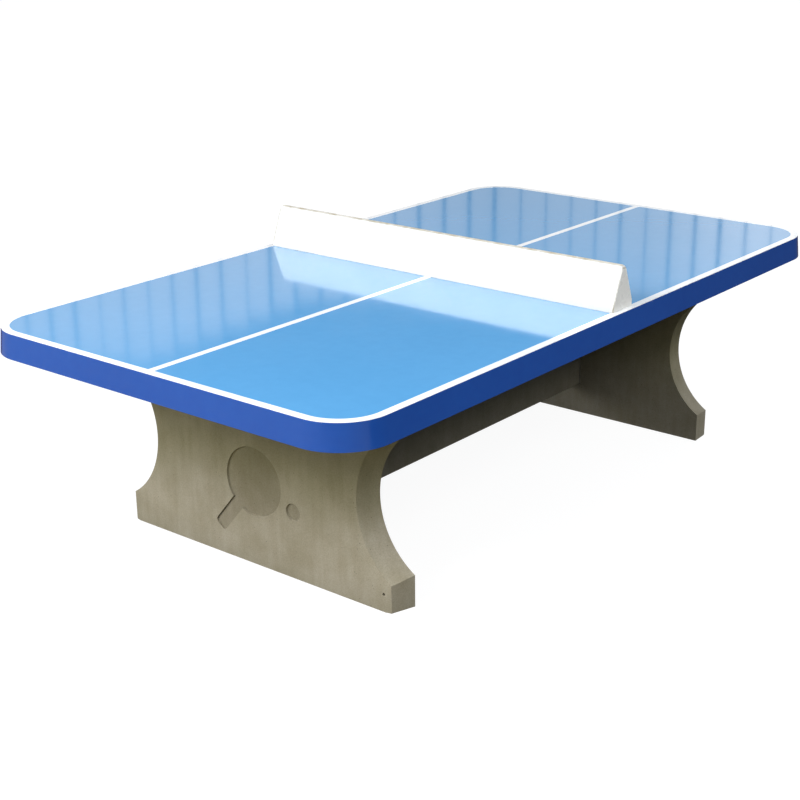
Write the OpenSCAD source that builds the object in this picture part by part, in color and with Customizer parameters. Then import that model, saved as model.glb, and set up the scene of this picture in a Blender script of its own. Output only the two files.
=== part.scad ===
// Outdoor ping pong table in precast concrete.
// A coated slab stands on two waisted legs that a deep beam holds apart.
// Origin on the floor, under the middle of the table.
// X runs along the table, Y across it, Z up.

/* [Playing surface] */
// Length of the playing surface
top_l = 2740; // [2200:5:3300]
// Width of the playing surface
top_w = 1525; // [1260:5:1840]
// Height of the playing surface above the floor
top_h = 760; // [630:5:920]
// Thickness of the slab with its skin
top_t = 82; // [68:1:110]
// Radius of the slab's corners at the playing surface
corner_r = 160; // [100:5:200]
// How far the rim leans out on each side, from playing surface to underside
rim_flare = 8; // [4:0.5:12]
// Thickness of the coloured skin
skin_t = 4; // [3:0.5:6]
// Width of the border line
border_w = 27; // [20:1:35]
// Width of the centre line
centre_w = 25; // [15:1:35]
// Depth of the lines, cast flush into the skin
line_t = 1.5; // [1:0.25:2]

/* [Net] */
// Height of the net above the playing surface
net_h = 146; // [120:0.5:185]
// Distance from each end of the net to the edge of the playing surface
net_end_gap = 19.5; // [10:0.5:40]
// Width of the net at its foot
net_w = 124; // [108:2:152]
// Radius of the net's top edge
net_top_r = 9; // [6:0.5:12]
// Radius of the net's upright corners, seen from above
net_end_r = 10; // [9:1:14]
// Radius of the two top corners, seen from the side
net_corner_r = 16; // [10:1:26]
// Thickness of the seal under the net
seal_t = 1.5; // [1:0.25:2]
// How far the seal stays inside the net's foot
seal_inset = 1.5; // [1:0.5:8]

/* [Legs] */
// Clear distance between the legs
leg_gap = 1740; // [1440:5:2100]
// Thickness of a leg
leg_t = 85; // [70:1:105]
// Width of a leg's foot and head, on the inner face
leg_w = 1160; // [980:5:1400]
// Width of a leg's waist, on the inner face
waist_w = 896; // [760:4:948]
// Height of the upright side of the foot, and of the head
foot_h = 105; // [85:1:130]
// How far one side of the outer face stands in from the inner face
wide_draft = 28; // [16:1:34]
// The same on the other side
slim_draft = 6; // [3:0.5:14]
// Width of the bevel down the sides of a leg's outer face
bevel_w = 20; // [10:1:26]
// Depth of that bevel
bevel_t = 5; // [3:0.5:8]
// Depth of the bat and ball sunk into the outer face
relief_d = 6; // [2:0.5:8]
// Radius of the bat's blade
bat_r = 118; // [80:1:130]
// Length of the bat's handle beyond the blade
handle_l = 130; // [100:1:170]
// Width of the handle
handle_w = 50; // [40:1:60]
// Radius of the ball
ball_r = 30; // [20:1:40]
// Height of the blade's centre above the floor
bat_z = 285; // [260:5:380]
// Lean of the bat, in degrees
bat_lean = -40; // [-60:1:60]
// Gap between blade and ball, across the leg
ball_gap = 18; // [8:1:40]

/* [Beam] */
// Thickness of the beam
beam_t = 100; // [90:1:130]
// Height of the beam's underside above the floor
beam_z = 122; // [60:1:180]
// Thickness of the mortar joint at each end
mortar_t = 6; // [4:1:12]

/* [Reinforcement] */
// Diameter of the slab's bars
slab_bar_d = 8; // [6:0.5:10]
// Diameter of the bars in the legs
leg_bar_d = 10; // [8:0.5:12]
// Diameter of the bars in the beam
beam_bar_d = 12; // [8:0.5:14]
// Concrete left between a bar's end and the outside
cover = 40; // [30:1:50]
// Clearance between crossing bars
bar_gap = 1; // [0.5:0.5:2]
// Height of the slab's lower bars above its underside
slab_bar_z = 24; // [16:1:28]

/* [Fixings] */
// Distance of the top dowels from the table's centre line
dowel_y = 360; // [300:5:435]
// Diameter of the dowels
dowel_d = 20; // [16:1:24]
// Depth of a dowel in a leg
dowel_in_leg = 70; // [50:5:90]
// Height of a dowel above the slab's underside
dowel_in_top = 44; // [30:1:50]
// Clearance round a dowel in its sleeve
dowel_play = 2; // [1:0.5:4]
// Distance from a top dowel to the next upright bar in the leg
dowel_to_bar = 60; // [40:5:90]
// Wall of a dowel sleeve
sleeve_wall = 3; // [2:0.5:4]
// Thickness of the bearing pads
pad_t = 4; // [3:0.5:8]
// Length of a bearing pad
pad_l = 220; // [120:5:260]
// Margin between a bearing pad and the leg's faces
pad_margin = 12; // [8:1:18]
// Diameter of the net bolts
bolt_d = 10; // [8:1:12]
// Depth of the pocket for a bolt's head and washer
bolt_pocket_t = 14; // [12:0.5:20]
// Diameter of the washers
washer_d = 30; // [26:1:36]
// Thickness of the washers
washer_t = 2.5; // [2:0.5:4]
// Clearance round a washer in its pocket
washer_play = 2; // [1:0.5:4]
// Clearance round a bolt in its sleeve
bolt_play = 1; // [0.5:0.25:2]
// Wall of a bolt sleeve
tube_wall = 2; // [1.5:0.25:3]
// Length of the threaded inserts in the net
insert_l = 40; // [30:1:50]
// Wall of the threaded inserts
insert_wall = 4; // [3:0.5:5]
// Outer diameter of the lifting sockets
socket_d = 24; // [20:1:30]
// Thread diameter of the lifting sockets
socket_thread_d = 14; // [10:1:16]
// Length of the lifting sockets
socket_l = 55; // [40:1:60]
// Thickness of the caps over the lifting sockets
cap_t = 3; // [2:0.5:5]
// How far a cap reaches past its socket all round
cap_lip = 5; // [3:0.5:8]

/* [Hidden] */

$fn = 96;
// Overshoot of a cut past the face that it opens
over = 1;

// Heights
slab_z = top_h - top_t;
core_top = top_h - skin_t;
leg_h = slab_z - pad_t;
beam_top = leg_h;

// Legs: the waist is a circle through the foot's corner and the waist
leg_in = leg_gap / 2;
leg_out = leg_in + leg_t;
leg_x = (leg_in + leg_out) / 2;
waist_in = (leg_w - waist_w) / 2;
waist_half_h = leg_h / 2 - foot_h;
waist_r = (waist_in * waist_in + waist_half_h * waist_half_h) / (2 * waist_in);
waist_y = waist_w / 2 + waist_r;

// Bars lie half a pitch away from the legs, the dowels and the bolts
cross_pitch = leg_x / 5;
long_pitch = dowel_y / 2;
cross_per_side = floor((top_l / 2 - cover) / cross_pitch + 0.5);
long_per_side = floor((top_w / 2 - cover) / long_pitch + 0.5);
long_bar_z = slab_z + slab_bar_z;
cross_bar_z = long_bar_z + slab_bar_d + bar_gap;

// Net
net_l = top_w - 2 * net_end_gap;
net_z = top_h + seal_t;
net_slope = atan((net_w / 2 - net_top_r) / (net_h - net_top_r));
bolt_ys = [for (i = [-3, -1, 1, 3]) i * long_pitch];
bolt_head_h = 6.4;
// A hexagon head's width over its corners, for each millimetre of bolt
head_per_bolt = 1.85;
bolt_head_d = head_per_bolt * bolt_d;
pocket_r = washer_d / 2 + washer_play;
pocket_top = slab_z + bolt_pocket_t;
tube_r = bolt_d / 2 + bolt_play;

// Fixings between beam and legs
beam_dowel_d = 16;
beam_dowel_in = 55;
// Lower dowel above the beam's underside, and upper dowel below its top
low_dowel_rise = 130;
high_dowel_drop = 170;
beam_dowel_zs = [beam_z + low_dowel_rise, beam_top - high_dowel_drop];
// Share of a socket's or an insert's length that takes the thread
thread_share = 0.75;

// Places
dowel_spots = [for (x = [-leg_x, leg_x], y = [-dowel_y, dowel_y]) [x, y]];
slab_socket_spots = [
  for (x = [-3 * cross_pitch, 3 * cross_pitch], y = [-3 * long_pitch, 3 * long_pitch]) [x, y]
];
leg_bar_y = [dowel_y / 3, dowel_y - dowel_to_bar];
leg_socket_y = (leg_bar_y[0] + leg_bar_y[1]) / 2;
// Upright and level bars lie this far off the leg's middle plane, clear of each other
leg_bar_clear = 3;
leg_bar_shift = leg_bar_d / 2 + leg_bar_clear;

// How far the rim stands out at height z
function flare(z) = rim_flare * (top_h - z) / top_t;

// How far a side with that draft stands in at distance x from the table's middle
function stands_in(x, draft) = draft * (x - leg_in) / leg_t;
function foot_half(x, draft) = leg_w / 2 - stands_in(x, draft);
function waist_cut_r(x, draft) = waist_r + stands_in(x, draft);

// ---- Shapes shared by several sub-parts ----

// Rounded slab whose four sides lean with the rim, set in by inset
module leaning_slab(inset, z0, z1) {
  low = flare(z0) - inset;
  high = flare(z1) - inset;
  run_x = top_l / 2 - corner_r;
  run_y = top_w / 2 - corner_r;
  translate([-run_x, 0, 0])
    rotate([90, 0, 90])
      linear_extrude(2 * run_x)
        leaning_profile(top_w / 2, low, high, z0, z1);
  translate([0, run_y, 0])
    rotate([90, 0, 0])
      linear_extrude(2 * run_y)
        leaning_profile(top_l / 2, low, high, z0, z1);
  for (x = [-run_x, run_x], y = [-run_y, run_y])
    translate([x, y, z0])
      cylinder(h = z1 - z0, r1 = corner_r + low, r2 = corner_r + high);
}

module leaning_profile(half, low, high, z0, z1) {
  polygon([[-half - low, z0], [half + low, z0], [half + high, z1], [-half - high, z1]]);
}

// Upright plate with rounded corners, centred on the Z axis
module rounded_plate(l, w, r, z0, z1) {
  translate([0, 0, z0])
    linear_extrude(z1 - z0) {
      square([l - 2 * r, w], center = true);
      square([l, w - 2 * r], center = true);
      for (x = [-1, 1], y = [-1, 1])
        translate([x * (l / 2 - r), y * (w / 2 - r)])
          circle(r);
    }
}

// Area inside the border line
module field(z0, z1) {
  rounded_plate(top_l - 2 * border_w, top_w - 2 * border_w, corner_r - border_w, z0, z1);
}

module centre_strip(extra) {
  translate([0, 0, top_h - line_t / 2 + extra / 2])
    cube([top_l - 2 * border_w + 2 * extra, centre_w, line_t + extra], center = true);
}

module rod_x(d, x0, x1) {
  translate([x0, 0, 0])
    rotate([0, 90, 0])
      cylinder(h = x1 - x0, d = d);
}

module rod_y(d, y0, y1) {
  translate([0, y0, 0])
    rotate([-90, 0, 0])
      cylinder(h = y1 - y0, d = d);
}

module tube(h, r_out, r_in) {
  difference() {
    cylinder(h = h, r = r_out);
    translate([0, 0, -over])
      cylinder(h = h + 2 * over, r = r_in);
  }
}

// ---- Reinforcement of the slab ----

module slab_long_rods() {
  for (side = [-1, 1], i = [0 : long_per_side - 1])
    translate([0, side * (i + 0.5) * long_pitch, long_bar_z])
      rod_x(slab_bar_d, cover - top_l / 2, top_l / 2 - cover);
}

module slab_cross_rods() {
  for (side = [-1, 1], i = [0 : cross_per_side - 1])
    translate([side * (i + 0.5) * cross_pitch, 0, cross_bar_z])
      rod_y(slab_bar_d, cover - top_w / 2, top_w / 2 - cover);
}

// ---- Top ----

module top_skin() {
  color("#62a8dc")
    difference() {
      union() {
        leaning_slab(0, slab_z, top_h - line_t);
        field(core_top, top_h);
      }
      leaning_slab(skin_t, slab_z - over, core_top);
      centre_strip(over);
      for (y = bolt_ys)
        translate([0, y, core_top - over])
          cylinder(h = skin_t + 2 * over, r = tube_r + tube_wall);
    }
}

module border_line() {
  color("white")
    difference() {
      leaning_slab(0, top_h - line_t, top_h);
      field(top_h - line_t - over, top_h + over);
    }
}

module centre_line() {
  color("white") centre_strip(0);
}

module top_slab() {
  color("#8d8a80")
    difference() {
      leaning_slab(skin_t, slab_z, core_top);
      slab_long_rods();
      slab_cross_rods();
      for (y = bolt_ys)
        translate([0, y, 0]) {
          translate([0, 0, slab_z - over])
            cylinder(h = bolt_pocket_t + over, r = pocket_r);
          translate([0, 0, slab_z])
            cylinder(h = top_t, r = tube_r + tube_wall);
        }
      for (p = dowel_spots)
        translate([p[0], p[1], slab_z - over])
          cylinder(h = sleeve_h() + over, r = sleeve_r());
      for (p = slab_socket_spots)
        translate([p[0], p[1], slab_z]) {
          cylinder(h = cap_t + socket_l, d = socket_d);
          translate([0, 0, -over])
            cylinder(h = cap_t + over, d = socket_d + 2 * cap_lip);
        }
    }
}

module slab_long_bars() {
  color("#6b4a38") slab_long_rods();
}

module slab_cross_bars() {
  color("#6b4a38") slab_cross_rods();
}

// ---- Net ----

// Wedge with a round top edge, seen along the table's width
module net_profile() {
  side_x = net_top_r * cos(net_slope);
  side_z = net_h - net_top_r + net_top_r * sin(net_slope);
  foot_x = side_x + (side_z - seal_t) * tan(net_slope);
  polygon([[-foot_x, seal_t], [foot_x, seal_t], [side_x, side_z], [-side_x, side_z]]);
  translate([0, net_h - net_top_r])
    circle(net_top_r);
}

// Side of the net, with its two top corners rounded
module net_side() {
  square([net_l, 2 * (net_h - net_corner_r)], center = true);
  square([net_l - 2 * net_corner_r, 2 * net_h], center = true);
  for (y = [-1, 1])
    translate([y * (net_l / 2 - net_corner_r), net_h - net_corner_r])
      circle(net_corner_r);
}

module net() {
  color("white")
    difference() {
      intersection() {
        translate([0, net_l / 2, top_h])
          rotate([90, 0, 0])
            linear_extrude(net_l)
              net_profile();
        rounded_plate(net_w, net_l, net_end_r, top_h, top_h + net_h);
        translate([-net_w / 2, 0, top_h])
          rotate([90, 0, 90])
            linear_extrude(net_w)
              net_side();
      }
      for (y = bolt_ys)
        translate([0, y, net_z - over])
          cylinder(h = insert_l + over, r = bolt_d / 2 + insert_wall);
    }
}

module net_seal() {
  color("#d6d6d2")
    difference() {
      rounded_plate(net_w - 2 * seal_inset, net_l - 2 * seal_inset, net_end_r - seal_inset,
                    top_h, net_z);
      for (y = bolt_ys)
        translate([0, y, top_h - over])
          cylinder(h = seal_t + 2 * over, r = tube_r + tube_wall);
    }
}

module net_inserts() {
  color("#b08d4a")
    for (y = bolt_ys)
      translate([0, y, net_z])
        tube(insert_l, bolt_d / 2 + insert_wall, bolt_d / 2);
}

module net_sleeves() {
  color("#c9c9c4")
    for (y = bolt_ys)
      translate([0, y, pocket_top])
        tube(top_h - pocket_top, tube_r + tube_wall, tube_r);
}

module net_bolts() {
  color("#9fa2a6")
    for (y = bolt_ys)
      translate([0, y, pocket_top - washer_t]) {
        translate([0, 0, -bolt_head_h])
          cylinder(h = bolt_head_h, d = bolt_head_d, $fn = 6);
        translate([0, 0, -over])
          cylinder(h = net_z + insert_l * thread_share - pocket_top + washer_t + over, d = bolt_d);
      }
}

module net_washers() {
  color("#b4b7ba")
    for (y = bolt_ys)
      translate([0, y, pocket_top - washer_t])
        tube(washer_t, washer_d / 2, bolt_d / 2);
}

// ---- Legs ----

// Leg on the +X side, seen from above: it narrows to its outer face, most on the +Y side
module leg_plan() {
  xs = [leg_in, leg_out - bevel_t, leg_out];
  insets = [0, 0, bevel_w];
  polygon(concat(
    [for (i = [0 : 2]) [xs[i], foot_half(xs[i], wide_draft) - insets[i]]],
    [for (i = [2 : -1 : 0]) [xs[i], insets[i] - foot_half(xs[i], slim_draft)]]
  ));
}

// Material taken away at one waist: a cone with a bevel at the leg's outer face
module waist_cut(draft) {
  outer_edge = leg_out - bevel_t;
  inner_r = waist_cut_r(leg_in - over, draft);
  outer_r = waist_cut_r(outer_edge, draft);
  bevel_rise = (bevel_t + over) * bevel_w / bevel_t;
  rotate([0, 90, 0])
    rotate_extrude()
      polygon([
        [0, leg_in - over],
        [inner_r, leg_in - over],
        [outer_r, outer_edge],
        [outer_r + bevel_rise, leg_out + over],
        [0, leg_out + over]
      ]);
}

// Outline of a bat and ball
module bat_and_ball() {
  rotate(bat_lean) {
    circle(bat_r);
    translate([0, -bat_r - handle_l / 2 + handle_w / 2])
      square([handle_w, handle_l + handle_w], center = true);
  }
  translate([bat_r + ball_gap + ball_r, -bat_r / 2])
    circle(ball_r);
}

module leg() {
  difference() {
    linear_extrude(leg_h) leg_plan();
    translate([0, waist_y, leg_h / 2])
      waist_cut(wide_draft);
    translate([0, -waist_y, leg_h / 2])
      waist_cut(slim_draft);
    translate([leg_out - relief_d, 0, bat_z])
      rotate([90, 0, 90])
        linear_extrude(relief_d + over)
          bat_and_ball();
    leg_rods();
    for (y = [-dowel_y, dowel_y])
      translate([leg_x, y, leg_h - dowel_in_leg])
        cylinder(h = dowel_in_leg + over, d = dowel_d);
    for (y = [-leg_socket_y, leg_socket_y])
      translate([leg_x, y, leg_h - socket_l])
        cylinder(h = socket_l + over, d = socket_d);
    for (z = beam_dowel_zs)
      translate([0, 0, z])
        rod_x(2 * beam_sleeve_r(), leg_in - over, leg_in + beam_dowel_in);
  }
}

function beam_sleeve_r() = beam_dowel_d / 2 + dowel_play + sleeve_wall;

// Upright bars, and one level bar in the foot and one in the head
module leg_rods() {
  for (side = [-1, 1], y = leg_bar_y)
    translate([leg_x + leg_bar_shift, side * y, cover])
      cylinder(h = leg_h - 2 * cover, d = leg_bar_d);
  for (z = [foot_h / 2, leg_h - dowel_in_leg - foot_h / 4])
    translate([leg_x - leg_bar_shift, 0, z])
      rod_y(leg_bar_d, cover + wide_draft - leg_w / 2, leg_w / 2 - wide_draft - cover);
}

module leg_right() {
  color("#a39d8c") leg();
}

module leg_left() {
  color("#a39d8c") rotate([0, 0, 180]) leg();
}

module leg_right_bars() {
  color("#6b4a38") leg_rods();
}

module leg_left_bars() {
  color("#6b4a38") rotate([0, 0, 180]) leg_rods();
}

// ---- Beam ----

module beam_rods() {
  for (y = [-1, 1], z = [beam_z + cover, beam_top - cover])
    translate([0, y * (beam_t / 4 + bar_gap), z])
      rod_x(beam_bar_d, mortar_t + cover - leg_in, leg_in - mortar_t - cover);
}

// Both ends' dowels, which are also the holes for them in beam and mortar
module beam_dowel_rods() {
  for (side = [-1, 1], z = beam_dowel_zs)
    translate([side * leg_in, 0, z])
      rod_x(beam_dowel_d, -beam_dowel_in, beam_dowel_in);
}

module beam() {
  color("#8f897a")
    difference() {
      translate([mortar_t - leg_in, -beam_t / 2, beam_z])
        cube([leg_gap - 2 * mortar_t, beam_t, beam_top - beam_z]);
      beam_rods();
      beam_dowel_rods();
    }
}

module beam_bars() {
  color("#6b4a38") beam_rods();
}

module beam_dowels() {
  color("#9fa2a6") beam_dowel_rods();
}

module beam_sleeves() {
  color("#c9c9c4")
    for (side = [-1, 1], z = beam_dowel_zs)
      translate([side * leg_in, 0, z])
        rotate([0, side * 90, 0])
          tube(beam_dowel_in, beam_sleeve_r(), beam_dowel_d / 2 + dowel_play);
}

module beam_joints() {
  color("#77736a")
    difference() {
      for (x = [-leg_in, leg_in - mortar_t])
        translate([x, -beam_t / 2, beam_z])
          cube([mortar_t, beam_t, beam_top - beam_z]);
      beam_dowel_rods();
    }
}

// ---- Joint between top and legs ----

function sleeve_r() = dowel_d / 2 + dowel_play + sleeve_wall;
function sleeve_h() = dowel_in_top + dowel_play + sleeve_wall;

module top_dowels() {
  color("#9fa2a6")
    for (p = dowel_spots)
      translate([p[0], p[1], leg_h - dowel_in_leg])
        cylinder(h = dowel_in_leg + pad_t + dowel_in_top, d = dowel_d);
}

module dowel_sleeves() {
  color("#c9c9c4")
    for (p = dowel_spots)
      translate([p[0], p[1], slab_z])
        difference() {
          cylinder(h = sleeve_h(), r = sleeve_r());
          translate([0, 0, -over])
            cylinder(h = sleeve_h() - sleeve_wall + over, r = dowel_d / 2 + dowel_play);
        }
}

module bearing_pads() {
  color("#3c3c3e")
    for (p = dowel_spots)
      translate([p[0], p[1], leg_h])
        difference() {
          translate([0, 0, pad_t / 2])
            cube([leg_t - 2 * pad_margin, pad_l, pad_t], center = true);
          translate([0, 0, -over])
            cylinder(h = pad_t + 2 * over, d = dowel_d + 2 * dowel_play);
        }
}

// ---- Lifting ----

module lifting_socket() {
  difference() {
    cylinder(h = socket_l, d = socket_d);
    translate([0, 0, -over])
      cylinder(h = socket_l * thread_share + over, d = socket_thread_d);
  }
}

module lifting_sockets() {
  color("#b4b7ba") {
    for (p = slab_socket_spots)
      translate([p[0], p[1], slab_z + cap_t])
        lifting_socket();
    for (x = [-leg_x, leg_x], y = [-leg_socket_y, leg_socket_y])
      translate([x, y, leg_h])
        rotate([180, 0, 0])
          lifting_socket();
  }
}

module socket_caps() {
  color("#4a4c50")
    for (p = slab_socket_spots)
      translate([p[0], p[1], slab_z])
        cylinder(h = cap_t, d = socket_d + 2 * cap_lip);
}

top_skin();
border_line();
centre_line();
top_slab();
slab_long_bars();
slab_cross_bars();
net();
net_seal();
net_inserts();
net_sleeves();
net_bolts();
net_washers();
leg_left();
leg_right();
leg_left_bars();
leg_right_bars();
beam();
beam_bars();
beam_dowels();
beam_sleeves();
beam_joints();
top_dowels();
dowel_sleeves();
bearing_pads();
lifting_sockets();
socket_caps();
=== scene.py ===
"""An outdoor concrete ping pong table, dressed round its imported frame.

Lengths are metres, or millimetres times MM. X runs along the table, Y across it, Z up.
"""

import math
import random
from contextlib import contextmanager

import bmesh
import bpy
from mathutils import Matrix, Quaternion, Vector


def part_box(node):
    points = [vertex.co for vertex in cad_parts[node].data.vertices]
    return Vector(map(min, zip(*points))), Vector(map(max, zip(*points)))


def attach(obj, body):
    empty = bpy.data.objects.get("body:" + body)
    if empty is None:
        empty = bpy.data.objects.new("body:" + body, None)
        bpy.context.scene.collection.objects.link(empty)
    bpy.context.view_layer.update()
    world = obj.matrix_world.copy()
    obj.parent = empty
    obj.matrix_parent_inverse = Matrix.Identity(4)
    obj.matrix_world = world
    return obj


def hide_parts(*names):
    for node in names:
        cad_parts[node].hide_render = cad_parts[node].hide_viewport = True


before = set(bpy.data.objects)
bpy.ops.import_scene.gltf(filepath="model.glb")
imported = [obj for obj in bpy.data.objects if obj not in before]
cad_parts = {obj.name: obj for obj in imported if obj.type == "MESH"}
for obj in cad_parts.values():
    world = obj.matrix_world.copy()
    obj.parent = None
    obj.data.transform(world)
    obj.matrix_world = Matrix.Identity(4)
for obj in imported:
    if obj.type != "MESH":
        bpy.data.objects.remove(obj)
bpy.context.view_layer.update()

MM = 0.001
# Slack for comparing heights
GRAZE = 0.1 * MM
# Overshoot of a cutting tool past the face that it opens
OVER = 2 * MM
# Cosines above which a face looks along an axis, and an edge or a flat face is true to one
FACING = 0.9
TRUE_TO = 0.99

# ---- Sizes that the frame doesn't give by itself ----

CORNER_R = 160 * MM
RIM_FLARE = 8 * MM
SKIN_T = 4 * MM
LINE_T = 1.5 * MM
BORDER_W = 27 * MM
CORNER_STEPS = 36

NET_TOP_R = 9 * MM
NET_END_R = 10 * MM
NET_CORNER_R = 16 * MM
INSERT_R = 9 * MM
BOLT_HOLE_R = 8 * MM

FOOT_H = 105 * MM
WAIST_W = 896 * MM
# How far a leg's outer face stands in from its inner face, on its +Y and its -Y side
SIDE_DRAFTS = ((1, 28 * MM), (-1, 6 * MM))
MARGIN_W = 20 * MM
MARGIN_T = 5 * MM
PIN_HOLE_R = 5 * MM
PIN_HOLE_PLACE = (528 * MM, 58 * MM)

BAT_R = 118 * MM
HANDLE_L = 130 * MM
HANDLE_W = 50 * MM
HANDLE_END_R = 12 * MM
BALL_R = 30 * MM
BALL_GAP = 18 * MM
BAT_Z = 285 * MM
BAT_LEAN = math.radians(-40)
RELIEF_D = 6 * MM
RELIEF_SLOPE = 3 * MM

BEAM_CHAMFER = 3 * MM

# Radius that each piece's edges are rounded to
SKIN_EDGE_R = 0.8 * MM
BORDER_EDGE_R = 0.7 * MM
STRIPE_EDGE_R = 0.3 * MM
NET_EDGE_R = 1.2 * MM
SEAL_EDGE_R = 0.4 * MM
LEG_EDGE_R = 3 * MM
BEAM_EDGE_R = 1.5 * MM


# ---- Modelling by hand, one step a function ----

def select_only(piece):
    bpy.ops.object.select_all(action="DESELECT")
    piece.select_set(True)
    bpy.context.view_layer.objects.active = piece


@contextmanager
def editing(piece):
    """Edit mode on one piece, for as long as the with block runs."""
    select_only(piece)
    bpy.ops.object.mode_set(mode="EDIT")
    yield
    bpy.ops.object.mode_set(mode="OBJECT")


def pick(piece, kind, wanted):
    """Selects the faces or the edges, in edit mode, that wanted() says yes to."""
    bpy.ops.mesh.select_mode(type=kind)
    bpy.ops.mesh.select_all(action="DESELECT")
    mesh = bmesh.from_edit_mesh(piece.data)
    for element in (mesh.faces if kind == "FACE" else mesh.edges):
        element.select_set(wanted(element))
    bmesh.update_edit_mesh(piece.data)


def middle(edge):
    return (edge.verts[0].co + edge.verts[1].co) / 2


def runs_along(edge, axis):
    """Whether an edge is parallel to an axis, 0 for X, 1 for Y or 2 for Z."""
    run = edge.verts[1].co - edge.verts[0].co
    return abs(run[axis]) > TRUE_TO * run.length


def settle(name):
    """Names the primitive just added and keeps its size and place in its mesh."""
    piece = bpy.context.object
    piece.name = name
    piece.data.name = name
    bpy.ops.object.transform_apply(location=True, rotation=True, scale=True)
    return piece


def block(name, low, high):
    """Block between two corners."""
    bpy.ops.object.select_all(action="DESELECT")
    low, high = Vector(low), Vector(high)
    bpy.ops.mesh.primitive_cube_add(size=1, location=(low + high) / 2, scale=high - low)
    return settle(name)


def rod(name, start, end, r_start, r_end, steps=96):
    """Round bar or cone between two points."""
    bpy.ops.object.select_all(action="DESELECT")
    start, end = Vector(start), Vector(end)
    turn = (end - start).to_track_quat("Z", "Y").to_euler()
    bpy.ops.mesh.primitive_cone_add(
        vertices=steps, radius1=r_start, radius2=r_end, depth=(end - start).length,
        location=(start + end) / 2, rotation=turn)
    return settle(name)


def rounded_slab(name, half_l, half_w, radius, low_z, high_z, lean):
    """Slab with four round corners, whose sides lean in by lean on the way up."""
    bpy.ops.object.select_all(action="DESELECT")
    bpy.ops.mesh.primitive_plane_add(size=2, location=(0, 0, low_z))
    bpy.ops.transform.resize(value=(half_l, half_w, 1))
    piece = settle(name)
    with editing(piece):
        bpy.ops.mesh.select_all(action="SELECT")
        bpy.ops.mesh.bevel(affect="VERTICES", offset=radius, segments=CORNER_STEPS)
        pick(piece, "FACE", lambda face: True)
        bpy.ops.mesh.inset(thickness=lean, depth=high_z - low_z, use_even_offset=True)
        pick(piece, "EDGE", lambda edge: edge.is_boundary)
        bpy.ops.mesh.edge_face_add()
    return piece


def combine(piece, tool, operation):
    """Cuts the tool out of the piece, or joins or intersects the two. The tool is used up."""
    select_only(piece)
    step = piece.modifiers.new(operation, "BOOLEAN")
    step.operation = operation
    step.object = tool
    step.solver = "EXACT"
    bpy.ops.object.modifier_apply(modifier=step.name)
    bpy.data.objects.remove(tool)


def soften(piece, width, steps=3, sharper_than=30):
    """Rounds the piece's sharp edges and leaves its flat faces flat."""
    select_only(piece)
    bpy.ops.object.shade_smooth_by_angle(angle=math.radians(sharper_than))
    edges = piece.modifiers.new("edges", "BEVEL")
    edges.width = width
    edges.segments = steps
    edges.limit_method = "ANGLE"
    edges.angle_limit = math.radians(sharper_than)
    edges.miter_outer = "MITER_ARC"
    edges.harden_normals = True
    bpy.ops.object.modifier_apply(modifier=edges.name)


def hand_over(piece, node, slot, *materials):
    """The piece stands for a node of the frame and takes its materials."""
    shares = [face.material_index for face in piece.data.polygons]
    piece.data.materials.clear()
    for material in materials:
        piece.data.materials.append(material)
    piece.data.polygons.foreach_set("material_index", shares)
    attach(piece, "root")
    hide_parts(node)


# ---- Materials ----

def colour(hexes):
    """sRGB hex to the linear colour that the shaders take."""
    values = [int(hexes[i:i + 2], 16) / 255 for i in (1, 3, 5)]
    return [v / 12.92 if v <= 0.04045 else ((v + 0.055) / 1.055) ** 2.4 for v in values] + [1.0]


def per_size(millimetres):
    """Texture scale at which a pattern repeats about every so many millimetres."""
    return 1 / (millimetres * MM)


def add(tree, kind, inputs=None, **settings):
    """Adds a node. An input is a number or colour, or a socket that is then linked."""
    node = tree.nodes.new(kind)
    for name, value in settings.items():
        setattr(node, name, value)
    for name, value in (inputs or {}).items():
        if isinstance(value, bpy.types.NodeSocket):
            tree.links.new(value, node.inputs[name])
        else:
            node.inputs[name].default_value = value
    return node


# A colour Mix node's sockets: its share, its two colours and its result
SHARE, FIRST, SECOND, MIXED = 0, 6, 7, 2


def new_material(name):
    """An empty node material, its tree and its Object coordinates."""
    material = bpy.data.materials.new(name)
    material.use_nodes = True
    tree = material.node_tree
    tree.nodes.clear()
    place = add(tree, "ShaderNodeTexCoord").outputs["Object"]
    return material, tree, place


def finish(tree, inputs):
    """The surface: one Principled shader with these inputs."""
    shader = add(tree, "ShaderNodeBsdfPrincipled", inputs)
    add(tree, "ShaderNodeOutputMaterial", {"Surface": shader.outputs["BSDF"]})


# Most of a noise's values lie between these two
NOISE_LOW, NOISE_HIGH = 0.33, 0.67


def patches(tree, place, size, low=0.0, high=1.0, detail=3.0):
    """Soft patches about so many millimetres across, between a low and a high value."""
    cloud = add(tree, "ShaderNodeTexNoise", {
        "Vector": place, "Scale": per_size(size), "Detail": detail})
    return add(tree, "ShaderNodeMapRange", {
        "Value": cloud.outputs["Fac"], "From Min": NOISE_LOW, "From Max": NOISE_HIGH,
        "To Min": low, "To Max": high}).outputs["Result"]


def stained_and_shaded(tree, body, *stains_and_shades):
    """The body colour under a row of stains and painted shades, each a share of the surface and a
    colour.
    """
    for share, darkening in stains_and_shades:
        body = add(tree, "ShaderNodeMix", {SHARE: share, FIRST: body, SECOND: colour(darkening)},
                   data_type="RGBA", blend_type="MULTIPLY").outputs[MIXED]
    return body


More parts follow.
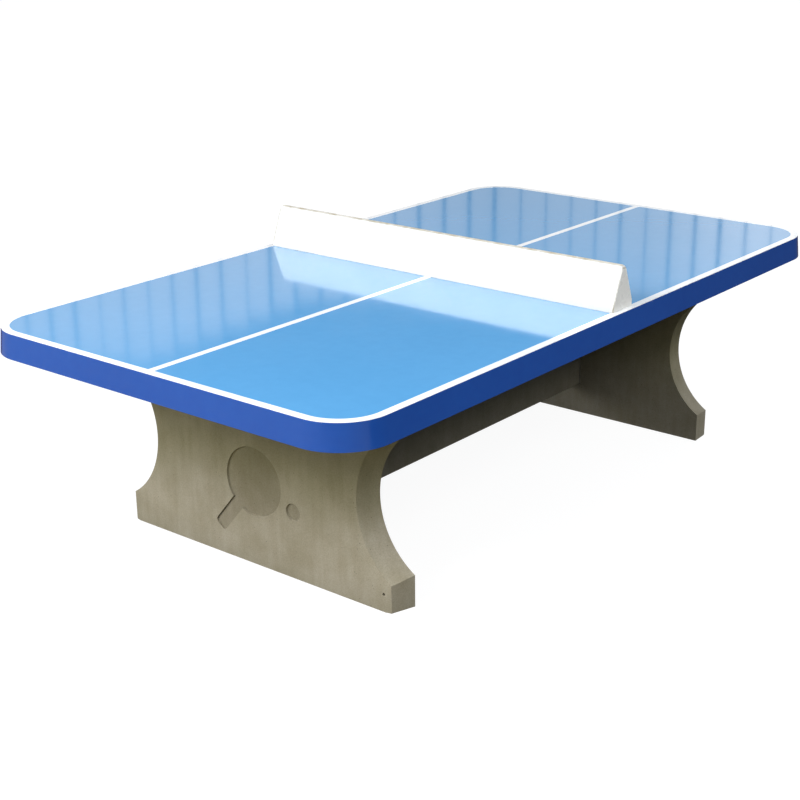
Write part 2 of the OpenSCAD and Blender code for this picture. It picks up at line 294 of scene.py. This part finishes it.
def gelcoat(name, main, second, coat, coat_rough, dust):
    """Polyester gelcoat from a polished mould: an even, deep colour under a clear, mirror-like
    surface, which shows the mould's faint wave and a thin film of dust."""
    material, tree, place = new_material(name)
    body = add(tree, "ShaderNodeMix", {
        SHARE: patches(tree, place, 420), FIRST: colour(main), SECOND: colour(second)},
        data_type="RGBA").outputs[MIXED]
    body = stained_and_shaded(tree, body, (patches(tree, place, 35, 0.0, 1.0, 6.0), dust))
    wave = patches(tree, place, 60, 0.0, 1.0, 1.0)
    # Orange peel is about 2 mm across; drawn at 6 mm, which is the finest that shows
    peel = patches(tree, place, 6, 0.0, 0.3, 1.0)
    height = add(tree, "ShaderNodeMath", {0: wave, 1: peel}, operation="ADD").outputs["Value"]
    bump = add(tree, "ShaderNodeBump", {
        "Height": height, "Strength": 0.05, "Distance": 0.3 * MM}).outputs["Normal"]
    finish(tree, {
        "Base Color": body, "Roughness": patches(tree, place, 90, 0.07, 0.13), "IOR": 1.5,
        "Coat Weight": coat, "Coat Roughness": coat_rough, "Coat IOR": 1.5,
        "Normal": bump, "Coat Normal": bump})
    return material


# Radius of a filler speck and of an air pore, as a share of the cell that holds it
SPECK_R = 0.12
PORE_R = 0.10
# Height of the dust above the net's foot and depth of the painted shade below its ridge
DUST_H = 45 * MM
RIDGE_SHADE_H = 6 * MM
# Middle of the painted shade on an end's rounded edge, in from the end, and its half width
END_SHADE_IN = 1.8 * MM
END_SHADE_HALF = 1.4 * MM


def polymer_concrete(name):
    """White polymer concrete with a polished skin: off-white, softly glossy, with a few grey
    specks of its marble filler, dust along the foot and painted shade on the rounded edges."""
    material, tree, place = new_material(name)
    body = add(tree, "ShaderNodeMix", {
        SHARE: patches(tree, place, 160), FIRST: colour("#e6e6e3"), SECOND: colour("#e0e0dc")},
        data_type="RGBA").outputs[MIXED]
    speck = add(tree, "ShaderNodeTexVoronoi", {"Vector": place, "Scale": per_size(7)})
    fleck = add(tree, "ShaderNodeMapRange", {
        "Value": speck.outputs["Distance"], "From Min": SPECK_R, "From Max": SPECK_R / 2,
        "To Min": 0.0, "To Max": 0.6}).outputs["Result"]
    low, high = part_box("net")
    height = add(tree, "ShaderNodeSeparateXYZ", {0: place}).outputs["Z"]
    drift = patches(tree, place, 70, 0.0, 0.03, 5.0)
    above = add(tree, "ShaderNodeMath", {0: height, 1: drift}, operation="ADD").outputs["Value"]
    dusty = add(tree, "ShaderNodeMapRange", {
        "Value": above, "From Min": low.z + DUST_H, "From Max": low.z,
        "To Min": 0.0, "To Max": 0.7}).outputs["Result"]
    # Painted shade: a patchy tan darkening along the ridge and on the ends' rounded edges
    ridge = add(tree, "ShaderNodeMapRange", {
        "Value": height, "From Min": high.z - RIDGE_SHADE_H, "From Max": high.z - RIDGE_SHADE_H / 2})
    across = add(tree, "ShaderNodeSeparateXYZ", {0: place}).outputs["Y"]
    reach = add(tree, "ShaderNodeMath", {0: across}, operation="ABSOLUTE").outputs["Value"]
    # Only the rounded edges lie in this band: the flat ends are past it
    corner = add(tree, "ShaderNodeMath", {
        0: reach, 1: high.y - END_SHADE_IN, 2: END_SHADE_HALF}, operation="COMPARE")
    edge = add(tree, "ShaderNodeMath", {
        0: ridge.outputs["Result"], 1: corner.outputs["Value"]}, operation="MAXIMUM")
    painted_edge_shade = add(tree, "ShaderNodeMath", {
        0: edge.outputs["Value"], 1: patches(tree, place, 40, 0.5, 1.0, 5.0)},
        operation="MULTIPLY").outputs["Value"]
    # The last mark, #b3a78e, is the painted shade on the rounded edges
    body = stained_and_shaded(tree, body, (fleck, "#d9d8d2"), (dusty, "#e9e5dc"), (painted_edge_shade, "#b3a78e"))
    bump = add(tree, "ShaderNodeBump", {
        "Height": patches(tree, place, 5), "Strength": 0.08, "Distance": 0.2 * MM})
    finish(tree, {
        "Base Color": body, "Roughness": patches(tree, place, 50, 0.22, 0.36), "IOR": 1.52,
        "Normal": bump.outputs["Normal"]})
    return material


def precast_concrete(name, low_tint, high_tint, fade_low, fade_high, pore_share=0.75):
    """Concrete cast against steel: matt, fine-grained and clouded where it dried unevenly,
    pitted with small air pores, and of one tint below and another above, fading between;
    on the legs and the beam the darker upper tint is painted shade from the slab overhead."""
    material, tree, place = new_material(name)
    height = add(tree, "ShaderNodeSeparateXYZ", {0: place}).outputs["Z"]
    drift = patches(tree, place, 300, -30 * MM, 30 * MM, 5.0)
    level = add(tree, "ShaderNodeMath", {0: height, 1: drift}, operation="ADD").outputs["Value"]
    # Darker towards the top: on the legs and the beam, painted shade of the slab's overhang
    rise = add(tree, "ShaderNodeMapRange", {
        "Value": level, "From Min": fade_low, "From Max": fade_high},
        interpolation_type="SMOOTHSTEP").outputs["Result"]
    body = add(tree, "ShaderNodeMix", {
        SHARE: rise, FIRST: colour(low_tint), SECOND: colour(high_tint)},
        data_type="RGBA").outputs[MIXED]
    cloud = patches(tree, place, 110, 0.0, 1.0, 5.0)
    # Water runs down and leaves faint upright streaks, about 25 mm wide
    drawn_down = add(tree, "ShaderNodeMapping", {"Vector": place, "Scale": (1, 1, 0.1)})
    streak = patches(tree, drawn_down.outputs["Vector"], 25, 0.0, 0.7, 4.0)
    # Cement grain is under 1 mm; drawn at 4 mm, which is the finest that shows
    grain = patches(tree, place, 4, 0.0, 0.9, 2.0)
    cells = add(tree, "ShaderNodeTexVoronoi", {"Vector": place, "Scale": per_size(22)})
    pit = add(tree, "ShaderNodeMapRange", {
        "Value": cells.outputs["Distance"], "From Min": PORE_R, "From Max": PORE_R / 2})
    # Only some cells hold a pore, and they come in swarms
    swarm = add(tree, "ShaderNodeMath", {
        0: patches(tree, place, 130), 1: pore_share}, operation="MULTIPLY")
    pore = add(tree, "ShaderNodeMath", {
        0: pit.outputs["Result"], 1: swarm.outputs["Value"]}, operation="MULTIPLY").outputs["Value"]
    body = stained_and_shaded(tree, body, (cloud, "#ecebe4"), (streak, "#f1efea"), (grain, "#ecebe6"),
                     (pore, "#7d786b"))
    relief = add(tree, "ShaderNodeMath", {
        0: pore, 1: -3.0, 2: grain}, operation="MULTIPLY_ADD").outputs["Value"]
    bump = add(tree, "ShaderNodeBump", {
        "Height": relief, "Strength": 0.35, "Distance": 0.5 * MM})
    finish(tree, {
        "Base Color": body, "Roughness": patches(tree, place, 60, 0.78, 0.95), "IOR": 1.45,
        "Specular IOR Level": 0.3, "Normal": bump.outputs["Normal"]})
    return material


# Radians that a Wave texture's bands turn through per unit of place and of scale
WAVE_RATE = 20


def metal(name, main, second, patch, rough_low, rough_high, metallic, bumpy, rings=None):
    """A metal surface: two tones in patches, uneven roughness, and a fine relief. The relief is
    grain, or turned rings if rings is given: their spacing in millimetres, over 2 pi."""
    material, tree, place = new_material(name)
    cells = add(tree, "ShaderNodeTexVoronoi", {"Vector": place, "Scale": per_size(patch)})
    tone = add(tree, "ShaderNodeSeparateColor", {0: cells.outputs["Color"]}).outputs["Red"]
    worn = patches(tree, place, 3 * patch, 0.0, 1.0, 6.0)
    share = add(tree, "ShaderNodeMath", {0: tone, 1: worn}, operation="MULTIPLY").outputs["Value"]
    body = add(tree, "ShaderNodeMix", {
        SHARE: share, FIRST: colour(main), SECOND: colour(second)},
        data_type="RGBA").outputs[MIXED]
    if rings:
        turned = add(tree, "ShaderNodeTexWave", {
            "Vector": place, "Scale": per_size(rings) / WAVE_RATE},
            wave_type="BANDS", bands_direction="Z")
        height = turned.outputs["Fac"]
    else:
        height = patches(tree, place, patch / 3, 0.0, 1.0, 4.0)
    bump = add(tree, "ShaderNodeBump", {
        "Height": height, "Strength": bumpy, "Distance": 0.3 * MM})
    finish(tree, {
        "Base Color": body, "Metallic": metallic,
        "Roughness": patches(tree, place, 2 * patch, rough_low, rough_high),
        "Normal": bump.outputs["Normal"]})
    return material


def moulded(name, main, second, rough_low, rough_high, grain, bumpy):
    """Moulded plastic or rubber: one even colour that weathers in patches, with the fine
    texture of its mould."""
    material, tree, place = new_material(name)
    body = add(tree, "ShaderNodeMix", {
        SHARE: patches(tree, place, 30, 0.0, 1.0, 5.0), FIRST: colour(main),
        SECOND: colour(second)}, data_type="RGBA").outputs[MIXED]
    bump = add(tree, "ShaderNodeBump", {
        "Height": patches(tree, place, grain), "Strength": bumpy, "Distance": 0.2 * MM})
    finish(tree, {
        "Base Color": body, "Roughness": patches(tree, place, 20, rough_low, rough_high),
        "IOR": 1.5, "Normal": bump.outputs["Normal"]})
    return material


field_blue = gelcoat("light_blue_gelcoat", "#539dd1", "#569fd3", 1.0, 0.07, "#fafbfc")
rim_blue = gelcoat("deep_blue_gelcoat", "#104596", "#12489a", 0.0, 0.12, "#f6f8fb")
line_white = gelcoat("white_gelcoat_lines", "#ffffff", "#fbfcfd", 1.0, 0.07, "#f9f9f6")
net_white = polymer_concrete("white_polymer_concrete")
# Olive and darker above, paler beige at the foot: painted shade of the slab's overhang on the upper
# leg
leg_concrete = precast_concrete("precast_leg_concrete", "#a39c8b", "#908a70",
                                150 * MM, 380 * MM)
# A darker copy of the leg concrete for the bed of the sunk bat and ball: painted shade in the hollow
recess_shade_concrete = precast_concrete("concrete_painted_recess_shade", "#928b7a", "#807a60",
                                   150 * MM, 380 * MM)
# Darker than the legs, and darker again higher up: painted shade under the slab
beam_shade_concrete = precast_concrete("precast_concrete_painted_beam_shade", "#8a8474", "#7f7966",
                                 150 * MM, 500 * MM)
slab_concrete = precast_concrete("precast_slab_concrete", "#99958a", "#8f8b80",
                                 600 * MM, 700 * MM)
joint_mortar = precast_concrete("struck_cement_mortar", "#75716a", "#6e6a62",
                                150 * MM, 500 * MM, 1.0)
bar_steel = metal("rusted_reinforcing_steel", "#4b4643", "#7a4a30", 9, 0.6, 0.9, 0.4, 0.6)
bolt_steel = metal("hot_dip_galvanised_steel", "#b3b7ba", "#8f9498", 6, 0.32, 0.55, 1.0, 0.15)
insert_brass = metal("turned_brass", "#b9924a", "#a27c3a", 5, 0.22, 0.38, 1.0, 0.2, 1.5)
sleeve_plastic = moulded("moulded_polyethylene", "#c6c6bf", "#b5b4ab", 0.4, 0.6, 3, 0.1)
cap_plastic = moulded("moulded_polypropylene", "#3d4044", "#4a4c4e", 0.4, 0.6, 2, 0.3)
pad_rubber = moulded("moulded_bearing_rubber", "#232325", "#333230", 0.7, 0.9, 2, 0.4)
net_sealant = moulded("weathered_sealant", "#dededa", "#cfcec8", 0.45, 0.7, 8, 0.4)

CARRIED_OVER = {
    "top_slab": slab_concrete,
    "slab_long_bars": bar_steel,
    "slab_cross_bars": bar_steel,
    "leg_left_bars": bar_steel,
    "leg_right_bars": bar_steel,
    "beam_bars": bar_steel,
    "net_inserts": insert_brass,
    "net_sleeves": sleeve_plastic,
    "beam_sleeves": sleeve_plastic,
    "dowel_sleeves": sleeve_plastic,
    "net_bolts": bolt_steel,
    "net_washers": bolt_steel,
    "top_dowels": bolt_steel,
    "beam_dowels": bolt_steel,
    "lifting_sockets": bolt_steel,
    "beam_joints": joint_mortar,
    "bearing_pads": pad_rubber,
    "socket_caps": cap_plastic,
}


# ---- Top ----

# Square metres that of the skin's level faces only the playing field's are over
FIELD_AREA = 1.0


def bolt_places():
    """Middle of each net bolt across the table, from the frame."""
    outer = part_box("net_inserts")[1].y - INSERT_R
    return [outer * i / 3 for i in (-3, -1, 1, 3)]


def make_skin():
    low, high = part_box("top_skin")
    line_floor = high.z - LINE_T
    per_metre = RIM_FLARE / (high.z - low.z)
    lean = per_metre * (line_floor - low.z)
    skin = rounded_slab("skin", high.x, high.y, CORNER_R + RIM_FLARE, low.z, line_floor, lean)
    half_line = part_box("centre_line")[1].y
    with editing(skin):
        pick(skin, "FACE", lambda face: face.normal.z > FACING)
        bpy.ops.mesh.inset(thickness=BORDER_W + RIM_FLARE - lean, use_even_offset=True)
        for y in (-half_line, half_line):
            pick(skin, "FACE", lambda face: face.normal.z > FACING and face.calc_area() > FIELD_AREA)
            bpy.ops.mesh.bisect(plane_co=(0, y, 0), plane_no=(0, 1, 0))
        pick(skin, "FACE", lambda face: face.normal.z > FACING and face.calc_area() > FIELD_AREA)
        bpy.ops.mesh.extrude_region_move(TRANSFORM_OT_translate={"value": (0, 0, LINE_T)})
    core_top = high.z - SKIN_T
    core_low = low.z - OVER
    out = per_metre * OVER - SKIN_T
    core = rounded_slab("core", high.x + out, high.y + out, CORNER_R + RIM_FLARE + out,
                        core_low, core_top, per_metre * (core_top - core_low))
    combine(skin, core, "DIFFERENCE")
    for y in bolt_places():
        hole = rod("hole", (0, y, core_top - OVER), (0, y, high.z + OVER),
                   BOLT_HOLE_R, BOLT_HOLE_R, 32)
        combine(skin, hole, "DIFFERENCE")
    soften(skin, SKIN_EDGE_R, 2)
    hand_over(skin, "top_skin", "blue_skin", field_blue, rim_blue)
    for face in skin.data.polygons:
        face.material_index = 0 if face.center.z > line_floor - GRAZE else 1


def make_border():
    low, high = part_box("border_line")
    skin_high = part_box("top_skin")[1]
    half_l = skin_high.x - RIM_FLARE
    half_w = skin_high.y - RIM_FLARE
    lean = high.x - half_l
    border = rounded_slab("border", high.x, high.y, CORNER_R + lean, low.z, high.z, lean)
    inside = rounded_slab("inside", half_l - BORDER_W, half_w - BORDER_W, CORNER_R - BORDER_W,
                          low.z - OVER, high.z + OVER, 0)
    combine(border, inside, "DIFFERENCE")
    soften(border, BORDER_EDGE_R)
    hand_over(border, "border_line", "white_line", line_white)


def make_centre_line():
    low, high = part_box("centre_line")
    line = block("centre_stripe", low, high)
    soften(line, STRIPE_EDGE_R, 2)
    hand_over(line, "centre_line", "white_line", line_white)


# ---- Net ----

def make_net():
    low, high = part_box("net")
    height = high.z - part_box("net_seal")[0].z
    slope = math.atan((high.x - NET_TOP_R) / (height - NET_TOP_R))
    ridge_z = high.z - NET_TOP_R
    shoulder_x = NET_TOP_R * math.cos(slope)
    shoulder_z = ridge_z + NET_TOP_R * math.sin(slope)
    foot_x = shoulder_x + (shoulder_z - low.z) * math.tan(slope)
    net = block("net_wall", (-foot_x, low.y, low.z), (foot_x, high.y, shoulder_z))
    with editing(net):
        pick(net, "FACE", lambda face: face.normal.z > FACING)
        bpy.ops.transform.resize(value=(shoulder_x / foot_x, 1, 1))
    ridge = rod("ridge", (0, low.y, ridge_z), (0, high.y, ridge_z), NET_TOP_R, NET_TOP_R, 64)
    combine(net, ridge, "UNION")
    plan = block("plan", (low.x, low.y, low.z - OVER), (high.x, high.y, high.z + OVER))
    with editing(plan):
        pick(plan, "EDGE", lambda edge: runs_along(edge, 2))
        bpy.ops.mesh.bevel(offset=NET_END_R, segments=10, profile=0.5)
    combine(net, plan, "INTERSECT")
    side = block("side", (low.x - OVER, low.y, low.z - OVER), (high.x + OVER, high.y, high.z))
    with editing(side):
        pick(side, "EDGE", lambda edge: runs_along(edge, 0) and middle(edge).z > ridge_z)
        bpy.ops.mesh.bevel(offset=NET_CORNER_R, segments=16, profile=0.5)
    combine(net, side, "INTERSECT")
    insert_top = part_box("net_inserts")[1].z
    for y in bolt_places():
        bore = rod("bore", (0, y, low.z - OVER), (0, y, insert_top), INSERT_R, INSERT_R, 32)
        combine(net, bore, "DIFFERENCE")
    soften(net, NET_EDGE_R)
    hand_over(net, "net", "white_net", net_white)


def make_seal():
    """The sealant under the net, squeezed out as far as the net's own foot."""
    low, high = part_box("net_seal")
    net_low, net_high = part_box("net")
    seal = block("net_sealant_bead", (net_low.x, net_low.y, low.z),
                 (net_high.x, net_high.y, high.z))
    with editing(seal):
        pick(seal, "EDGE", lambda edge: runs_along(edge, 2))
        bpy.ops.mesh.bevel(offset=NET_END_R, segments=10, profile=0.5)
    for y in bolt_places():
        hole = rod("hole", (0, y, low.z - OVER), (0, y, high.z + OVER),
                   BOLT_HOLE_R, BOLT_HOLE_R, 32)
        combine(seal, hole, "DIFFERENCE")
    soften(seal, SEAL_EDGE_R, 2)
    hand_over(seal, "net_seal", "seal_rubber", net_sealant)


# ---- Legs ----

def waist_spool(side, draft, outer):
    """Cutter for one waist: a cone that flares over the margin of the leg's outer face."""
    low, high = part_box("leg_right")
    per_metre = draft / (high.x - low.x)
    depth = high.y - WAIST_W / 2
    half_h = (high.z - low.z) / 2 - FOOT_H
    radius = (depth ** 2 + half_h ** 2) / (2 * depth)
    y = side * (WAIST_W / 2 + radius)
    z = (low.z + high.z) / 2
    r_inner = radius - per_metre * OVER
    r_outer = radius + per_metre * (outer - low.x)
    spool = rod("waist", (low.x - OVER, y, z), (outer, y, z), r_inner, r_outer, 256)
    run = MARGIN_T + OVER
    flare = MARGIN_W * run / MARGIN_T
    with editing(spool):
        pick(spool, "FACE", lambda face: face.normal.x > FACING)
        bpy.ops.mesh.extrude_region_move(TRANSFORM_OT_translate={"value": (run, 0, 0)})
        grow = (r_outer + flare) / r_outer
        bpy.ops.transform.resize(value=(1, grow, grow))
    return spool


def make_leg():
    """The leg on the +X side, whose outer face looks along +X."""
    low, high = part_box("leg_right")
    outer = high.x - MARGIN_T
    draft_run = (outer - low.x) / (high.x - low.x)
    spare = 2 * MARGIN_W
    # Cut to height after the margin, which so runs down the sides only
    leg = block("leg", (low.x, low.y, low.z - spare), (outer, high.y, high.z + spare))
    with editing(leg):
        for side, draft in SIDE_DRAFTS:
            pick(leg, "EDGE", lambda edge: runs_along(edge, 2)
                 and middle(edge).x > outer - MM and middle(edge).y * side > 0)
            bpy.ops.transform.translate(value=(0, -side * draft * draft_run, 0))
        pick(leg, "FACE", lambda face: face.normal.x > FACING)
        bpy.ops.mesh.inset(thickness=MARGIN_W, depth=MARGIN_T, use_even_offset=True)
        for z, way in ((low.z, 1), (high.z, -1)):
            bpy.ops.mesh.select_all(action="SELECT")
            bpy.ops.mesh.bisect(plane_co=(0, 0, z), plane_no=(0, 0, way),
                                clear_inner=True, use_fill=True)
    for side, draft in SIDE_DRAFTS:
        combine(leg, waist_spool(side, draft, outer), "DIFFERENCE")
    for tool in bat_and_ball(high.x):
        combine(leg, tool, "DIFFERENCE")
    pin_y, pin_z = PIN_HOLE_PLACE
    pin = rod("pin", (high.x - 2 * PIN_HOLE_R, pin_y, pin_z), (high.x + OVER, pin_y, pin_z),
              PIN_HOLE_R, PIN_HOLE_R, 24)
    combine(leg, pin, "DIFFERENCE")
    soften(leg, LEG_EDGE_R)
    # Faces of the sunk bed take the darker concrete, painted shade in the hollow
    for face in leg.data.polygons:
        sunk = face.normal.x > TRUE_TO and face.center.x < high.x - RELIEF_D / 2
        face.material_index = 1 if sunk else 0
    return leg


def bat_and_ball(face_x):
    """Cutters for the bat and the ball sunk into a leg's outer face, with sloping sides."""
    bed_x = face_x - RELIEF_D
    top_x = face_x + OVER
    blade = rod("blade", (bed_x, 0, BAT_Z), (top_x, 0, BAT_Z), BAT_R - RELIEF_SLOPE, BAT_R, 128)
    handle = block("handle", (bed_x, -HANDLE_W / 2, BAT_Z - BAT_R - HANDLE_L),
                   (top_x, HANDLE_W / 2, BAT_Z - BAT_R + HANDLE_W))
    with editing(handle):
        pick(handle, "EDGE", lambda edge: runs_along(edge, 0))
        bpy.ops.mesh.bevel(offset=HANDLE_END_R, segments=6)
        bpy.ops.mesh.select_all(action="SELECT")
        bpy.ops.transform.rotate(value=-BAT_LEAN, orient_axis="X",
                                 center_override=(face_x, 0, BAT_Z))
    combine(blade, handle, "UNION")
    ball_y = BAT_R + BALL_GAP + BALL_R
    ball_z = BAT_Z - BAT_R / 2
    ball = rod("ball", (bed_x, ball_y, ball_z), (top_x, ball_y, ball_z),
               BALL_R - RELIEF_SLOPE, BALL_R, 64)
    return blade, ball


def make_legs():
    right = make_leg()
    left = right.copy()
    left.data = right.data.copy()
    bpy.context.scene.collection.objects.link(left)
    left.name = "leg_under_left_end"
    right.name = "leg_under_right_end"
    select_only(left)
    left.rotation_euler = (0, 0, math.pi)
    bpy.ops.object.transform_apply(location=True, rotation=True, scale=True)
    hand_over(right, "leg_right", "concrete", leg_concrete, recess_shade_concrete)
    hand_over(left, "leg_left", "concrete", leg_concrete, recess_shade_concrete)


# ---- Beam ----

def make_beam():
    low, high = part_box("beam")
    beam = block("cross_beam", low, high)
    with editing(beam):
        pick(beam, "EDGE", lambda edge: runs_along(edge, 0) and middle(edge).z < high.z - MM)
        bpy.ops.mesh.bevel(offset=BEAM_CHAMFER, segments=1)
    soften(beam, BEAM_EDGE_R, 2)
    hand_over(beam, "beam", "concrete", beam_shade_concrete)


make_skin()
make_border()
make_centre_line()
make_net()
make_seal()
make_legs()
make_beam()

for name, material in CARRIED_OVER.items():
    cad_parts[name].data.materials.clear()
    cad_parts[name].data.materials.append(material)


# ---- Floor, light and camera ----

FLOOR_SIZE = 400
# Where the bright paving ends and where the dark ground begins, along X
PAVING_END = -1.3
GROUND_START = -0.8


def make_floor():
    """Pale to the camera. Light that bounces meets bright paving before the near end and
    dark ground elsewhere."""
    bpy.ops.object.select_all(action="DESELECT")
    bpy.ops.mesh.primitive_plane_add(size=FLOOR_SIZE, location=(0, 0, 0))
    floor = settle("studio_floor")
    material, tree, place = new_material("studio_floor")
    seen = add(tree, "ShaderNodeLightPath").outputs["Is Camera Ray"]
    pale = add(tree, "ShaderNodeBsdfDiffuse", {"Color": colour("#6a6a6a")})
    lift = add(tree, "ShaderNodeEmission", {"Color": colour("#ffffff"), "Strength": 0.92})
    both = add(tree, "ShaderNodeAddShader", {0: pale.outputs[0], 1: lift.outputs[0]})
    along = add(tree, "ShaderNodeSeparateXYZ", {0: place}).outputs["X"]
    far = add(tree, "ShaderNodeMapRange", {
        "Value": along, "From Min": PAVING_END, "From Max": GROUND_START})
    ground = add(tree, "ShaderNodeMix", {
        SHARE: far.outputs["Result"], FIRST: colour("#a09a86"), SECOND: colour("#5c5646")},
        data_type="RGBA")
    bounce = add(tree, "ShaderNodeBsdfDiffuse", {"Color": ground.outputs[MIXED]})
    mix = add(tree, "ShaderNodeMixShader", {0: seen, 1: bounce.outputs[0], 2: both.outputs[0]})
    add(tree, "ShaderNodeOutputMaterial", {"Surface": mix.outputs[0]})
    floor.data.materials.append(material)


# The sky's shades, from level to overhead
SKY_SHADES = (
    (0.0, (0.07, 0.09, 0.12, 1)),
    (0.5, (0.13, 0.20, 0.32, 1)),
    (0.72, (0.85, 0.88, 0.92, 1)),
)


def make_world():
    """White to the camera, and a sky to everything that reflects or is lit."""
    world = bpy.data.worlds.new("studio")
    bpy.context.scene.world = world
    world.use_nodes = True
    tree = world.node_tree
    tree.nodes.clear()
    place = add(tree, "ShaderNodeTexCoord").outputs["Generated"]
    height = add(tree, "ShaderNodeSeparateXYZ", {0: place}).outputs["Z"]
    ramp = add(tree, "ShaderNodeValToRGB", {"Fac": height})
    stops = ramp.color_ramp.elements
    stops.remove(stops[1])
    stops[0].position, stops[0].color = SKY_SHADES[0]
    for position, shade in SKY_SHADES[1:]:
        stops.new(position).color = shade
    sky = add(tree, "ShaderNodeBackground", {"Color": ramp.outputs[0], "Strength": 1.0})
    back = add(tree, "ShaderNodeBackground", {"Color": (1.0, 1.0, 1.0, 1), "Strength": 1.0})
    seen = add(tree, "ShaderNodeLightPath").outputs["Is Camera Ray"]
    mix = add(tree, "ShaderNodeMixShader", {0: seen, 1: sky.outputs[0], 2: back.outputs[0]})
    add(tree, "ShaderNodeOutputWorld", {"Surface": mix.outputs[0]})


def softbox(name, place, aim, width, height, watts):
    """Rectangular light that looks from its place to its aim."""
    bpy.ops.object.select_all(action="DESELECT")
    turn = (Vector(place) - Vector(aim)).to_track_quat("Z", "Y").to_euler()
    bpy.ops.object.light_add(type="AREA", location=place, rotation=turn)
    light = bpy.context.object
    light.name = name
    light.data.shape = "RECTANGLE"
    light.data.size = width
    light.data.size_y = height
    light.data.energy = watts
    light.visible_camera = False


# Direction that the pale boards stand in, seen from the table, and how far off they are
BOARDS_AWAY = math.radians(39)
BOARDS_DISTANCE = 7.0
# Places along the row, counted in boards to the left of the middle
FIRST_BOARD = -18
LAST_BOARD = 23
BOARD_PITCH = 206 * MM
BOARD_GAP = 24 * MM
BOARD_UNEVEN = 12 * MM
# The row's top, and the stretch to the left of the middle over which it climbs
BOARD_TOP_RIGHT = 2.85
BOARD_TOP_LEFT = 3.38
CLIMB_START = 0.85
CLIMB_END = 2.2
# Half the stretch that the row's shading covers, and its shades from right to left
SHADING_REACH = 3.0
BOARD_SHADES = (
    (0.04, (0.80, 0.79, 0.78, 1)),
    (0.18, (0.50, 0.50, 0.50, 1)),
    (0.40, (0.40, 0.40, 0.40, 1)),
    (0.65, (0.57, 0.55, 0.54, 1)),
)


def make_boards():
    """A row of pale boards far behind the table, seen only in its polished surfaces."""
    ahead = Vector((math.cos(BOARDS_AWAY), math.sin(BOARDS_AWAY), 0))
    aside = Vector((-ahead.y, ahead.x, 0))
    uneven = random.Random(4)
    corners = []
    faces = []
    for i in range(FIRST_BOARD, LAST_BOARD + 1):
        left = i * BOARD_PITCH + uneven.uniform(-BOARD_UNEVEN, BOARD_UNEVEN)
        right = (i + 1) * BOARD_PITCH - BOARD_GAP
        climb = min(max((left - CLIMB_START) / (CLIMB_END - CLIMB_START), 0), 1)
        top_z = BOARD_TOP_RIGHT + climb * (BOARD_TOP_LEFT - BOARD_TOP_RIGHT)
        start = len(corners)
        for side, z in ((left, 0), (right, 0), (right, top_z), (left, top_z)):
            corners.append(ahead * BOARDS_DISTANCE + aside * side + Vector((0, 0, z)))
        faces.append([start, start + 1, start + 2, start + 3])
    mesh = bpy.data.meshes.new("boards")
    mesh.from_pydata(corners, [], faces)
    boards = bpy.data.objects.new("boards", mesh)
    bpy.context.scene.collection.objects.link(boards)
    material, tree, place = new_material("pale_boards")
    across = add(tree, "ShaderNodeVectorMath", {0: place, 1: aside}, operation="DOT_PRODUCT")
    sides = add(tree, "ShaderNodeMapRange", {
        "Value": across.outputs["Value"], "From Min": -SHADING_REACH,
        "From Max": SHADING_REACH})
    ramp = add(tree, "ShaderNodeValToRGB", {"Fac": sides.outputs["Result"]})
    stops = ramp.color_ramp.elements
    stops.remove(stops[1])
    stops[0].position, stops[0].color = BOARD_SHADES[0]
    for position, shade in BOARD_SHADES[1:]:
        stops.new(position).color = shade
    glow = add(tree, "ShaderNodeEmission", {"Color": ramp.outputs["Color"], "Strength": 1.0})
    add(tree, "ShaderNodeOutputMaterial", {"Surface": glow.outputs[0]})
    material.cycles.emission_sampling = "NONE"
    mesh.materials.append(material)
    boards.visible_camera = False
    boards.visible_diffuse = False
    boards.visible_shadow = False


def make_camera():
    lens = bpy.data.cameras.new("camera")
    lens.lens = 67.65
    lens.sensor_width = 36
    camera = bpy.data.objects.new("camera", lens)
    bpy.context.scene.collection.objects.link(camera)
    place = Vector((-4.0424, -3.1127, 2.1206))
    aim = Vector((-0.3284, -0.0865, 0.4))
    roll = -0.009
    turn = (place - aim).to_track_quat("Z", "Y") @ Quaternion((0, 0, 1), roll)
    camera.location = place
    camera.rotation_euler = turn.to_euler()
    bpy.context.scene.camera = camera


make_floor()
make_world()
make_boards()
softbox("key", (-5.5, 0.6, 4.3), (0, 0, 0.6), 2.4, 2.4, 360)
softbox("left", (-5.5, 4.5, 1.6), (0, 0, 0.6), 4.0, 2.4, 110)
softbox("front", (-1.0, -6.0, 5.2), (0, 0, 0.6), 5.0, 2.4, 300)
softbox("far", (2.6, 0.5, 4.2), (0.9, 0, 0.8), 2.5, 2.5, 35)
make_camera()
bpy.context.scene.view_settings.view_transform = "Standard"
